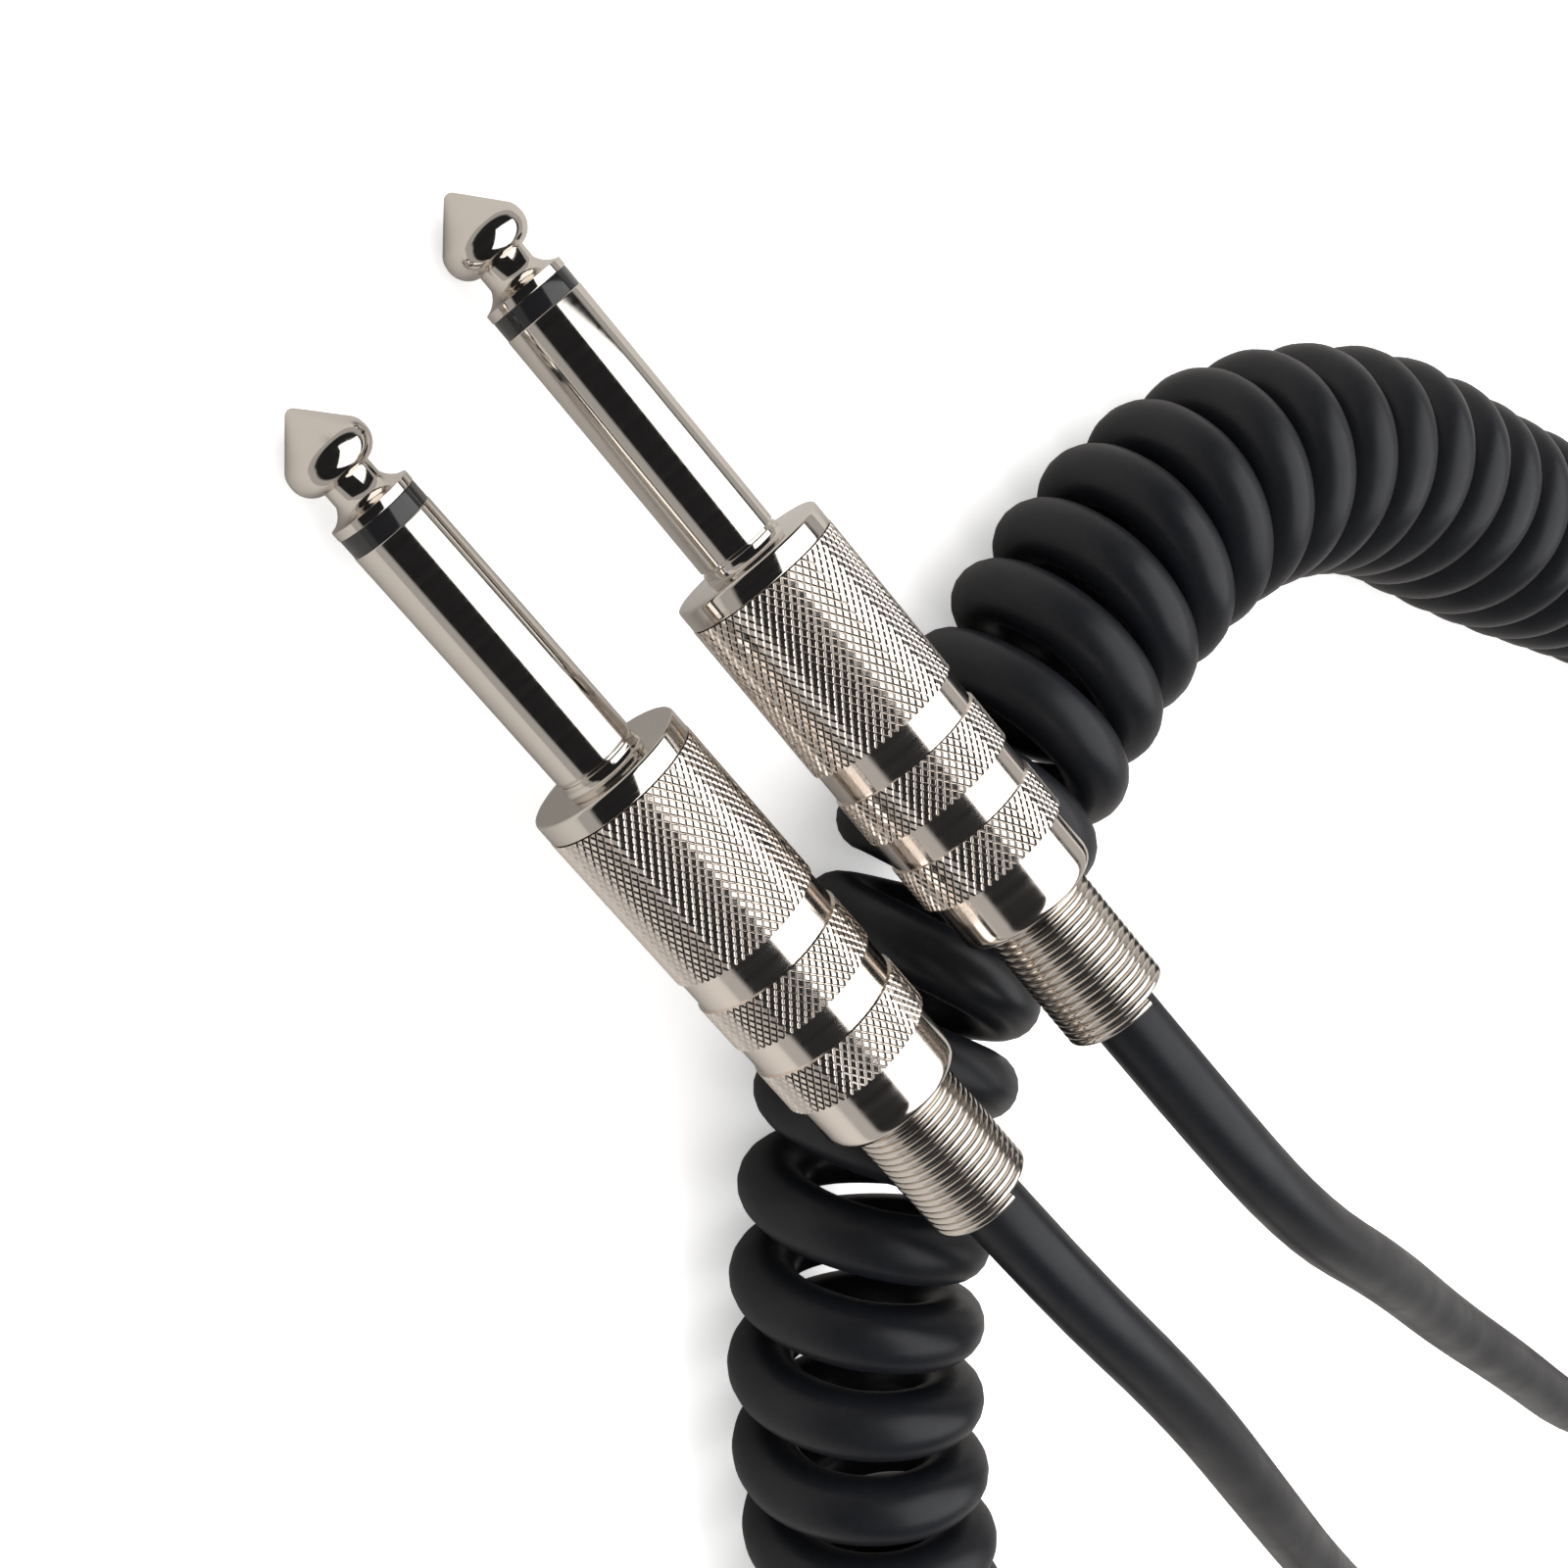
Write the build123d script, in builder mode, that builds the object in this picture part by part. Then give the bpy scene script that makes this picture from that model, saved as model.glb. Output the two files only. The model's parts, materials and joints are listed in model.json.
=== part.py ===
from build123d import *
import math
import os

# Curly instrument cable: two straight 6.35 mm mono jack plugs joined by a curly cord that lies on a table.
# Millimetres, +Z up, the table is Z = 0. The origin is on the table, under the middle of the two plugs.
# Each plug is drawn in its own plane: x runs along its axis from the tip's apex to the rear, y is radial.

# ---------------------------------------------------------------- jack plug, front
shaft_diameter = 6.35
apex_radius = 0.55
cone_half_angle = 42.0
ball_station = 3.7
ball_length = 1.9
neck_diameter = 3.7
neck_length = 1.1
flare_length = 1.1
tip_collar_length = 0.7
insulator_length = 1.5
insulator_diameter = 6.25
rod_diameter = 2.0
insulator_tube_diameter = 3.5
face_station = 31.5
shaft_groove_setback = 0.75
shaft_groove_width = 0.25
shaft_groove_depth = 0.2
flange_diameter = 12.2
flange_thickness = 1.75
flange_edge_chamfer = 0.2

# ---------------------------------------------------------------- screwed joint of the barrel
thread_diameter = 9.8
thread_pitch = 0.75
thread_turns = 6
thread_depth = 0.35
boss_end_chamfer = 0.3
running_clearance = 0.06
seat_gap = 0.05

# ---------------------------------------------------------------- barrel, from its front edge
barrel_diameter = 12.3
band_lengths = [13.3, 2.65, 3.75, 2.65, 3.65, 4.55]
ring_depth = 0.2
rear_depth = 0.5
knurl_edge_chamfer = 0.15
barrel_end_radius = 1.4
barrel_end_wall = 4.5

# ---------------------------------------------------------------- pieces inside the barrel
lug_thickness = 0.5
lug_disc_clearance = 0.66
lug_strip_width = 3.0
lug_strip_radius = 3.05
washer_diameter = 6.0
washer_thickness = 1.0
tip_lug_diameter = 4.4
tip_lug_tongue_width = 2.0
tip_lug_tongue_length = 4.8
rivet_head_diameter = 3.4
rivet_head_length = 0.8
clamp_length = 6.0
clamp_slot = 2.6
clamp_ear_clearance = 0.29
strip_to_clamp = 11.8
jacket_end_setback = 3.0
liner_wall = 0.45
liner_end_gap = 0.2
core_diameter = 1.7
pigtail_diameter = 0.9
wire_gap = 0.05
solder_diameter = 1.5

# ---------------------------------------------------------------- cord and strain relief spring
cable_diameter = 5.3
spring_bore_clearance = 1.0
spring_wire = 0.62
spring_reach = 10.7
spring_shoulder_clearance = 0.11
spring_shoulder_length = 0.9
tail_start_in_spring = 11.0
tail_straight = 8.5
coil_diameter = 20.4

# ---------------------------------------------------------------- how the plugs lie
# Each plug's tip rests on the table and its rear lies over the curly cord. The ball's widest point is
# tip_seat below the height that it would have on a level plug. rear_drop is how far the axis passes, at the
# barrel's rear edge, below the height of a barrel that sits on top of the curly cord.
tip_seat = 0.12
plug_lay = {
    "a": {"ball": (-11.95, -29.27), "azimuth": 53.0, "rear_drop": 4.15},
    "b": {"ball": (-28.85, -21.1), "azimuth": 50.2, "rear_drop": 0.2},
}

# ---------------------------------------------------------------- the cord's route over the table
# The curly stretch, as the middle line of its coil. Its height is the coil's radius.
coil_route = [
    (94.5, 79.0),
    (87.0, 56.0),
    (67.0, 42.0),
    (45.0, 31.0),
    (21.5, 27.5),
    (-6.5, 33.0),
    (-29.0, 47.5),
    (-38.5, 70.0),
    (-37.0, 93.5),
    (-38.0, 122.0),
    (-37.0, 150.0),
    (-35.0, 177.5),
]
# The plain stretches, from behind each plug to the coil. Points at height None lie on the table.
tail_routes = {
    "a": [
        (43.0, 51.0, 28.5),
        (53.0, 71.5, 24.0),
        (62.5, 93.0, 17.5),
        (70.5, 113.5, 11.0),
        (79.5, 134.5, 5.5),
        (97.0, 149.0, None),
        (120.0, 149.5, None),
        (138.0, 134.0, None),
        (143.0, 111.0, None),
        (133.0, 89.0, None),
        (114.0, 79.0, None),
        (93.0, 78.0, None),
    ],
    "b": [
        (27.0, 53.0, 34.5),
        (31.5, 73.5, 30.0),
        (37.5, 96.0, 24.0),
        (43.5, 120.5, 18.5),
        (50.5, 146.0, 13.0),
        (53.0, 168.0, 7.5),
        (42.0, 188.0, 3.5),
        (20.0, 196.0, None),
        (-4.0, 191.0, None),
        (-22.0, 183.0, None),
        (-39.0, 176.5, None),
    ],
}

# ---------------------------------------------------------------- stations along a plug, from the apex
shaft_radius = shaft_diameter / 2
neck_start = ball_station + ball_length
flare_start = neck_start + neck_length
tip_collar_start = flare_start + flare_length
insulator_start = tip_collar_start + tip_collar_length
sleeve_start = insulator_start + insulator_length
flange_end = face_station + flange_thickness
thread_length = thread_turns * thread_pitch
boss_end = flange_end + thread_length
lug_end = boss_end + lug_thickness
washer_end = lug_end + washer_thickness
tip_lug_end = washer_end + lug_thickness
rivet_end = tip_lug_end + rivet_head_length
clamp_start = boss_end + strip_to_clamp
clamp_end = clamp_start + clamp_length
jacket_end = clamp_start - jacket_end_setback
barrel_front = flange_end + seat_gap
band_edges = [barrel_front + sum(band_lengths[:count]) for count in range(len(band_lengths) + 1)]
barrel_end = band_edges[-1]
barrel_floor = barrel_end - barrel_end_wall
spring_end = barrel_end + spring_reach
spring_inner_radius = cable_diameter / 2 + spring_bore_clearance
spring_outer_radius = spring_inner_radius + spring_wire
tail_start = spring_end - tail_start_in_spring

barrel_bore_radius = thread_diameter / 2 + running_clearance
liner_outer_radius = barrel_bore_radius - running_clearance
liner_inner_radius = liner_outer_radius - liner_wall
spring_shoulder_radius = barrel_bore_radius - spring_shoulder_clearance
liner_end = barrel_floor - spring_shoulder_length - liner_end_gap
cable_radius = cable_diameter / 2
coil_radius = coil_diameter / 2


class Plug:
    """Where one plug lies: its letter and the plane that its pieces are drawn in."""

    def __init__(self, letter, lay):
        self.letter = letter
        rear_height = coil_diameter + barrel_diameter / 2 - lay["rear_drop"]
        ball_height = shaft_radius - tip_seat
        slope = math.asin((rear_height - ball_height) / (barrel_end - ball_station))
        turn = math.radians(lay["azimuth"])
        along = Vector(math.cos(slope) * math.cos(turn), math.cos(slope) * math.sin(turn), math.sin(slope))
        across = Vector(math.sin(turn), -math.cos(turn), 0)
        ball = Vector(lay["ball"][0], lay["ball"][1], ball_height)
        self.plane = Plane(origin=ball - along * ball_station, x_dir=along, z_dir=across)
        self.axis = Axis(self.plane.origin, along)

    def point(self, station, height=0.0):
        """Point on the plug's axis, or above it, in the row's frame."""
        return self.plane.from_local_coords(Vector(station, height, 0))

    def section(self, station, height=0.0):
        """Plane square to the axis: x is up from the axis and z is towards the rear."""
        return Plane(origin=self.point(station, height), x_dir=self.plane.y_dir, z_dir=self.plane.x_dir)


def tip_contact(plug):
    """Cone, ball, neck and flare of the tip, with the rod that runs back through the shaft."""
    half_angle = math.radians(cone_half_angle)
    cone_start = apex_radius * (1 - math.sin(half_angle))
    cone_start_radius = apex_radius * math.cos(half_angle)
    shoulder_radius = shaft_radius - 0.3
    cone_end = cone_start + (shoulder_radius - cone_start_radius) / math.tan(half_angle)
    ball_middle = (ball_station + 0.72 * ball_length, neck_diameter / 2 + 0.71 * (shaft_radius - neck_diameter / 2))
    flare_middle = (flare_start + 0.62 * flare_length, neck_diameter / 2 + 0.36 * (shaft_radius - neck_diameter / 2))
    apex_middle = (apex_radius * (1 - math.sin(math.radians(45 + cone_half_angle / 2))),
                   apex_radius * math.cos(math.radians(45 + cone_half_angle / 2)))
    with BuildPart() as piece:
        with BuildSketch(plug.plane):
            with BuildLine():
                ThreePointArc((0, 0), apex_middle, (cone_start, cone_start_radius))
                Line((cone_start, cone_start_radius), (cone_end, shoulder_radius))
                ThreePointArc((cone_end, shoulder_radius),
                              ((cone_end + ball_station) / 2 - 0.02, shaft_radius - 0.09),
                              (ball_station, shaft_radius))
                ThreePointArc((ball_station, shaft_radius), ball_middle, (neck_start, neck_diameter / 2))
                Line((neck_start, neck_diameter / 2), (flare_start, neck_diameter / 2))
                ThreePointArc((flare_start, neck_diameter / 2), flare_middle, (tip_collar_start, shaft_radius))
                Polyline(
                    (tip_collar_start, shaft_radius),
                    (insulator_start, shaft_radius),
                    (insulator_start, rod_diameter / 2),
                    (tip_lug_end, rod_diameter / 2),
                    (tip_lug_end, rivet_head_diameter / 2),
                    (rivet_end, rivet_head_diameter / 2),
                    (rivet_end, 0),
                    (0, 0),
                )
            make_face()
        revolve(axis=plug.axis)
        chamfered = piece.faces().sort_by(plug.axis)[-1].edges()
        chamfer(chamfered, rivet_head_length / 3)
    return piece.part


def turned(plug, *outline):
    """Solid of revolution about the plug's axis; the outline's points are (station, radius)."""
    with BuildPart() as piece:
        with BuildSketch(plug.plane):
            with BuildLine():
                Polyline(*outline, close=True)
            make_face()
        revolve(axis=plug.axis)
    return piece.part


def tip_insulator(plug):
    """Black ring behind the tip and the thin tube that lines the shaft."""
    return turned(
        plug,
        (insulator_start, rod_diameter / 2),
        (insulator_start, insulator_diameter / 2),
        (sleeve_start, insulator_diameter / 2),
        (sleeve_start, insulator_tube_diameter / 2),
        (lug_end, insulator_tube_diameter / 2),
        (lug_end, rod_diameter / 2),
    )


def sleeve_contact(plug):
    """Hollow shaft, front flange and threaded boss, turned from one bar."""
    groove_start = face_station - shaft_groove_setback - shaft_groove_width
    groove_end = groove_start + shaft_groove_width
    crest = thread_diameter / 2
    ridges = []
    for turn in range(thread_turns):
        ridge_start = flange_end + turn * thread_pitch
        ridges += [
            (ridge_start, crest - thread_depth),
            (ridge_start + 0.3 * thread_pitch, crest - thread_depth),
            (ridge_start + 0.6 * thread_pitch, crest),
            (ridge_start + 0.7 * thread_pitch, crest),
        ]
    return turned(
        plug,
        (sleeve_start, insulator_tube_diameter / 2),
        (sleeve_start, shaft_radius),
        (groove_start, shaft_radius),
        (groove_start, shaft_radius - shaft_groove_depth),
        (groove_end, shaft_radius - shaft_groove_depth),
        (groove_end, shaft_radius),
        (face_station, shaft_radius),
        (face_station, flange_diameter / 2 - flange_edge_chamfer),
        (face_station + flange_edge_chamfer, flange_diameter / 2),
        (flange_end, flange_diameter / 2),
        *ridges,
        (boss_end, crest - boss_end_chamfer),
        (boss_end, insulator_tube_diameter / 2),
    )


def ground_lug(plug):
    """Ring under the boss, a strip that runs back, and the clamp that grips the jacket."""
    clamp_radius = cable_radius + lug_thickness
    ear_half_width = clamp_slot / 2 + lug_thickness
    ear_top = math.sqrt((liner_inner_radius - clamp_ear_clearance) ** 2 - ear_half_width**2)
    ear_foot = math.sqrt(clamp_radius**2 - ear_half_width**2)
    with BuildPart() as piece:
        with BuildSketch(plug.section(boss_end)):
            Circle(barrel_bore_radius - lug_disc_clearance)
            Circle(insulator_tube_diameter / 2, mode=Mode.SUBTRACT)
        extrude(amount=lug_thickness)
        with BuildSketch(plug.section(boss_end)):
            with Locations((-max(lug_strip_radius, cable_radius + lug_thickness / 2), 0)):
                Rectangle(lug_thickness, lug_strip_width, align=(Align.MAX, Align.CENTER))
        extrude(amount=clamp_end - boss_end)
        with BuildSketch(plug.section(clamp_start)):
            Circle(clamp_radius)
            with Locations((ear_foot, 0)):
                Rectangle(ear_top - ear_foot, 2 * ear_half_width, align=(Align.MIN, Align.CENTER))
            with Locations((clamp_radius, 0)):
                Rectangle(2 * clamp_radius, clamp_slot, mode=Mode.SUBTRACT)
            Circle(cable_radius, mode=Mode.SUBTRACT)
        extrude(amount=clamp_length)
    return piece.part


def rear_washer(plug):
    """Insulating washer between the ground lug and the tip lug."""
    return turned(
        plug,
        (lug_end, rod_diameter / 2),
        (lug_end, washer_diameter / 2),
        (washer_end, washer_diameter / 2),
        (washer_end, rod_diameter / 2),
    )


def tip_lug(plug):
    """Solder lug staked on the rod's end, with its tongue running back above the axis."""
    with BuildPart() as piece:
        with BuildSketch(plug.section(washer_end)):
            Circle(tip_lug_diameter / 2)
            Circle(rod_diameter / 2, mode=Mode.SUBTRACT)
        extrude(amount=lug_thickness)
        with BuildSketch(plug.section(washer_end)):
            with Locations((rivet_head_diameter / 2 + wire_gap, 0)):
                Rectangle(lug_thickness, tip_lug_tongue_width, align=(Align.MIN, Align.CENTER))
        extrude(amount=tip_lug_tongue_length)
    return piece.part


def wire_stub(plug, start, end, height, diameter):
    """Straight piece of wire beside the axis, from one station to the next."""
    with BuildPart() as piece:
        with BuildSketch(plug.section(start, height)):
            Circle(diameter / 2)
        extrude(amount=end - start)
    return piece.part


def solder_blob(plug, station, height):
    """Rounded drop of solder over a wire's end."""
    with BuildPart() as piece:
        with BuildSketch(Plane(origin=plug.point(station, height), x_dir=plug.plane.x_dir, z_dir=plug.plane.z_dir)):
            Circle(solder_diameter / 2)
            Rectangle(solder_diameter, solder_diameter / 2, align=(Align.CENTER, Align.MAX), mode=Mode.SUBTRACT)
        revolve(axis=Axis(plug.point(station, height), plug.plane.x_dir))
    return piece.part


def liner_tube(plug):
    """Insulating tube that slips into the barrel and covers the solder joints."""
    return turned(
        plug,
        (lug_end, liner_inner_radius),
        (lug_end, liner_outer_radius),
        (liner_end, liner_outer_radius),
        (liner_end, liner_inner_radius),
    )


def barrel(plug):
    """Screwed shell with three knurled bands, two plain rings and a plain rear."""
    knurl_radius = barrel_diameter / 2
    rear_radius = knurl_radius - rear_depth
    outline = []
    for band, (start, end) in enumerate(zip(band_edges[:-1], band_edges[1:])):
        if band % 2 == 0:
            outline += [
                (start, knurl_radius - knurl_edge_chamfer),
                (start + knurl_edge_chamfer, knurl_radius),
                (end - knurl_edge_chamfer, knurl_radius),
                (end, knurl_radius - knurl_edge_chamfer),
            ]
        else:
            plain_radius = rear_radius if end == barrel_end else knurl_radius - ring_depth
            outline += [(start, plain_radius), (end, plain_radius)]
    with BuildPart() as piece:
        with BuildSketch(plug.plane):
            with BuildLine():
                Polyline(
                    (barrel_front, barrel_bore_radius),
                    *outline,
                    (barrel_end, spring_outer_radius),
                    (barrel_floor, spring_outer_radius),
                    (barrel_floor, barrel_bore_radius),
                    close=True,
                )
            make_face()
        revolve(axis=plug.axis)
        rear_face = piece.faces().sort_by(plug.axis)[-1]
        rim = rear_face.edges().sort_by(SortBy.RADIUS)[-1]
        fillet(rim, min(barrel_end_radius, 0.9 * (rear_radius - spring_outer_radius)))
    return piece.part


def strain_relief(plug):
    """Close-wound wire spring, as the tube that its turns fill, with the shoulder that holds it."""
    return turned(
        plug,
        (barrel_floor - spring_shoulder_length, spring_inner_radius),
        (barrel_floor - spring_shoulder_length, spring_shoulder_radius),
        (barrel_floor, spring_shoulder_radius),
        (barrel_floor, spring_outer_radius),
        (spring_end, spring_outer_radius),
        (spring_end, spring_inner_radius),
    )


def corner_radii(points):
    """Radius of each corner's arc: 0.45 of the shorter run over the tangent of half the turn."""
    radii = []
    for before, corner, after in zip(points[:-2], points[1:-1], points[2:]):
        turn = math.radians((corner - before).get_angle(after - corner))
        shorter_run = min((corner - before).length, (after - corner).length)
        radii.append(0.45 * shorter_run / math.tan(turn / 2))
    return radii


def cord_tube(name, points, diameter):
    """Tube along straight runs joined by tangent arcs."""
    radii = corner_radii(points)
    with BuildPart() as tube:
        with BuildLine() as route:
            FilletPolyline(*points, radius=radii)
        with BuildSketch(Plane(origin=route.line @ 0, z_dir=route.line % 0)):
            Circle(diameter / 2)
        sweep()
    length = sum(edge.length for edge in route.edges())
    fill = tube.part.volume / (math.pi * diameter**2 / 4 * length)
    print(f"{name}: length {length:.1f}, volume over section x length {fill:.5f}, "
          f"smallest radius {min(radii):.1f}, radii {[round(radius, 1) for radius in radii]}")
    return tube.part


def tail(plug):
    """Plain stretch of the cord, from inside the spring to the coil's end."""
    table_height = cable_radius
    points = [plug.point(tail_start), plug.point(spring_end + tail_straight)]
    for x, y, z in tail_routes[plug.letter]:
        points.append(Vector(x, y, table_height if z is None else z))
    return cord_tube(f"tail_{plug.letter}", points, cable_diameter)


def write(part, name):
    """Label one finished piece and write its STEP file."""
    part.label = name
    export_step(part, f"parts/{name}.step")


os.makedirs("parts", exist_ok=True)

for letter, lay in plug_lay.items():
    plug = Plug(letter, lay)
    core_height = rivet_head_diameter / 2 - core_diameter / 2
    pigtail_height = -(cable_radius - pigtail_diameter / 2 - wire_gap)
    wire_start = jacket_end - 4.0
    write(tip_contact(plug), f"tip_contact_{letter}")
    write(tip_insulator(plug), f"tip_insulator_{letter}")
    write(sleeve_contact(plug), f"sleeve_contact_{letter}")
    write(ground_lug(plug), f"ground_lug_{letter}")
    write(rear_washer(plug), f"rear_washer_{letter}")
    write(tip_lug(plug), f"tip_lug_{letter}")
    write(wire_stub(plug, wire_start, jacket_end, core_height, core_diameter), f"core_wire_{letter}")
    write(wire_stub(plug, wire_start, jacket_end, pigtail_height, pigtail_diameter), f"shield_wire_{letter}")
    write(solder_blob(plug, wire_start, core_height + solder_diameter / 3), f"tip_solder_{letter}")
    write(solder_blob(plug, wire_start, pigtail_height - solder_diameter / 4), f"ground_solder_{letter}")
    write(wire_stub(plug, jacket_end, tail_start, 0, cable_diameter), f"cable_end_{letter}")
    write(liner_tube(plug), f"liner_tube_{letter}")
    write(barrel(plug), f"barrel_{letter}")
    write(strain_relief(plug), f"strain_relief_{letter}")
    write(tail(plug), f"tail_{letter}")

coil_points = [Vector(x, y, coil_radius) for x, y in coil_route]
write(cord_tube("curly_cord", coil_points, coil_diameter), "curly_cord")
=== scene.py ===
"""Looks of a curly instrument cable with two straight jack plugs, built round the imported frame."""

import json
import logging
import math
from dataclasses import dataclass, field
from enum import Enum
from typing import Sequence

import bmesh
import bpy
from mathutils import Matrix, Vector


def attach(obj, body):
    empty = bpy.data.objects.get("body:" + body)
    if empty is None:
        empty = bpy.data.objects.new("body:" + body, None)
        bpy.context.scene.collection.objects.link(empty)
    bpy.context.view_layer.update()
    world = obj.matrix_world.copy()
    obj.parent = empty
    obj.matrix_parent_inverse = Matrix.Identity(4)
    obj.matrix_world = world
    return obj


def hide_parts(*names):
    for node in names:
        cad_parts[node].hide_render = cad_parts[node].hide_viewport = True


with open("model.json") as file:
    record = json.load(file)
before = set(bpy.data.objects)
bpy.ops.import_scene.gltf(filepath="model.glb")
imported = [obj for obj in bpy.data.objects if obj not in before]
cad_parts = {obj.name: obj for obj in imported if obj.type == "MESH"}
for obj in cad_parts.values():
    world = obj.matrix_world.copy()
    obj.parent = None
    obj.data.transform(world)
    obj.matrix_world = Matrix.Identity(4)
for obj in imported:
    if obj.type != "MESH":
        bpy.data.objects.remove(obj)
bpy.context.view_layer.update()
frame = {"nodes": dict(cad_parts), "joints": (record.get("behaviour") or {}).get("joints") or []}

MM = 0.001
BROAD_SHARE = 0.13  # Size of a finish's broad marks: their scale as a share of the fine ones'.
BROAD_SPREAD = (0.3, 0.7)  # Noise values that give a finish its lowest and its highest roughness.
MOST_OF_HALF = 0.49  # Most of a side that one corner's rounding may take.
WIRE_STEPS_PER_TURN = 48
SAME_POINT_MM = 1e-4  # Points nearer to each other than this are one point.
NEAR_AXIS_MM = 1e-6  # A smaller radius than this makes a pole.
log = logging.getLogger("instrument_cable")

Flat = tuple[float, float]
Spot = tuple[float, float, float]
Outline = list[Flat]


# ------------------------------------------------------------------------------------------ finishes


class Grain(Enum):
    """Which coordinates a finish's fine marks follow."""

    TURNED = "UV"
    ALL_ROUND = "Object"


def socket(group: bpy.types.NodeTree, name: str, way: str, kind: str, value: float | None = None) -> None:
    """Add one named socket to a node group.

    Args:
        group: The node group.
        name: The socket's name.
        way: "INPUT" or "OUTPUT".
        kind: The socket's Blender type.
        value: Default value, where it has one.
    """
    made = group.interface.new_socket(name=name, in_out=way, socket_type=kind)
    if value is not None:
        made.default_value = value


def fine_marks_group() -> bpy.types.NodeTree:
    """Shared shader group: fine marks in two scales, as a height and as a roughness.

    Returns:
        The node group, with inputs Vector, Scale, Low, High and outputs Height, Roughness.
    """
    known = bpy.data.node_groups.get("FineMarks")
    if known:
        return known
    group = bpy.data.node_groups.new("FineMarks", "ShaderNodeTree")
    socket(group, "Vector", "INPUT", "NodeSocketVector")
    socket(group, "Scale", "INPUT", "NodeSocketFloat", 1.0)
    socket(group, "Low", "INPUT", "NodeSocketFloat", 0.1)
    socket(group, "High", "INPUT", "NodeSocketFloat", 0.2)
    socket(group, "Height", "OUTPUT", "NodeSocketFloat")
    socket(group, "Roughness", "OUTPUT", "NodeSocketFloat")
    nodes, links = group.nodes, group.links
    given, out = nodes.new("NodeGroupInput"), nodes.new("NodeGroupOutput")
    fine, broad = nodes.new("ShaderNodeTexNoise"), nodes.new("ShaderNodeTexNoise")
    broad_scale, span = nodes.new("ShaderNodeMath"), nodes.new("ShaderNodeMapRange")
    broad_scale.operation = "MULTIPLY"
    broad_scale.inputs[1].default_value = BROAD_SHARE
    fine.inputs["Detail"].default_value = 3.0
    broad.inputs["Detail"].default_value = 4.0
    links.new(given.outputs["Vector"], fine.inputs["Vector"])
    links.new(given.outputs["Vector"], broad.inputs["Vector"])
    links.new(given.outputs["Scale"], fine.inputs["Scale"])
    links.new(given.outputs["Scale"], broad_scale.inputs[0])
    links.new(broad_scale.outputs[0], broad.inputs["Scale"])
    links.new(broad.outputs["Fac"], span.inputs["Value"])
    span.inputs["From Min"].default_value, span.inputs["From Max"].default_value = BROAD_SPREAD
    links.new(given.outputs["Low"], span.inputs["To Min"])
    links.new(given.outputs["High"], span.inputs["To Max"])
    links.new(fine.outputs["Fac"], out.inputs["Height"])
    links.new(span.outputs["Result"], out.inputs["Roughness"])
    return group


@dataclass(frozen=True)
class Finish:
    """One finish: a Principled surface with fine marks in its roughness and its relief."""

    name: str
    colour: tuple[float, float, float]
    metallic: float = 0.0
    roughness: tuple[float, float] = (0.3, 0.5)
    mark_scale: tuple[float, float, float] = (1.0, 1.0, 1.0)
    mark_size: float = 400.0
    relief: float = 0.05
    relief_depth: float = 0.0001
    grain: Grain = Grain.ALL_ROUND
    coat: float = 0.0
    specular: float = 0.5
    shade_range: float = 0.08

    def made(self) -> bpy.types.Material:
        """Build the material, or return it if it is there already.

        Returns:
            The Blender material of this finish.
        """
        known = bpy.data.materials.get(self.name)
        if known:
            return known
        material = bpy.data.materials.new(self.name)
        material.use_nodes = True
        nodes, links = material.node_tree.nodes, material.node_tree.links
        surface = nodes["Principled BSDF"]
        surface.inputs["Metallic"].default_value = self.metallic
        surface.inputs["Coat Weight"].default_value = self.coat
        surface.inputs["Specular IOR Level"].default_value = self.specular
        where, stretch = nodes.new("ShaderNodeTexCoord"), nodes.new("ShaderNodeMapping")
        marks, bump = nodes.new("ShaderNodeGroup"), nodes.new("ShaderNodeBump")
        marks.node_tree = fine_marks_group()
        marks.inputs["Scale"].default_value = self.mark_size
        marks.inputs["Low"].default_value, marks.inputs["High"].default_value = self.roughness
        stretch.inputs["Scale"].default_value = self.mark_scale
        bump.inputs["Strength"].default_value = self.relief
        bump.inputs["Distance"].default_value = self.relief_depth
        links.new(where.outputs[self.grain.value], stretch.inputs["Vector"])
        links.new(stretch.outputs["Vector"], marks.inputs["Vector"])
        links.new(marks.outputs["Roughness"], surface.inputs["Roughness"])
        links.new(marks.outputs["Height"], bump.inputs["Height"])
        links.new(bump.outputs["Normal"], surface.inputs["Normal"])
        tint = nodes.new("ShaderNodeMix")
        tint.data_type = "RGBA"
        for end, change in (("A", -self.shade_range), ("B", self.shade_range)):
            tint.inputs[end].default_value = (*[min(1, channel * (1 + change)) for channel in self.colour], 1)
        links.new(marks.outputs["Height"], tint.inputs["Factor"])
        links.new(tint.outputs["Result"], surface.inputs["Base Color"])
        return material


NICKEL_SHAFT = Finish(
    "nickel_shaft", (0.77, 0.725, 0.67), metallic=1.0, roughness=(0.05, 0.11), mark_scale=(0.4, 14.0, 1.0),
    mark_size=1.0, relief=0.06, relief_depth=0.00002, grain=Grain.TURNED, shade_range=0.03,
)
# Painted highlight: the same nickel plating as the shaft, given a brighter, warmer colour so that the knurled
# barrel looks lighter than the shaft under the same light.
NICKEL_KNURL_PAINTED_BRIGHTER = Finish(
    "nickel_knurl_painted_brighter", (0.92, 0.85, 0.785), metallic=1.0, roughness=(0.08, 0.16), mark_scale=(1.5, 11.0, 1.0),
    mark_size=1.0, relief=0.10, relief_depth=0.00002, grain=Grain.TURNED, shade_range=0.05,
)
NICKEL_WIRE = Finish(
    "nickel_wire", (0.80, 0.745, 0.685), metallic=1.0, roughness=(0.10, 0.20), mark_size=1500.0,
    relief_depth=0.00002, shade_range=0.05,
)
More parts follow.
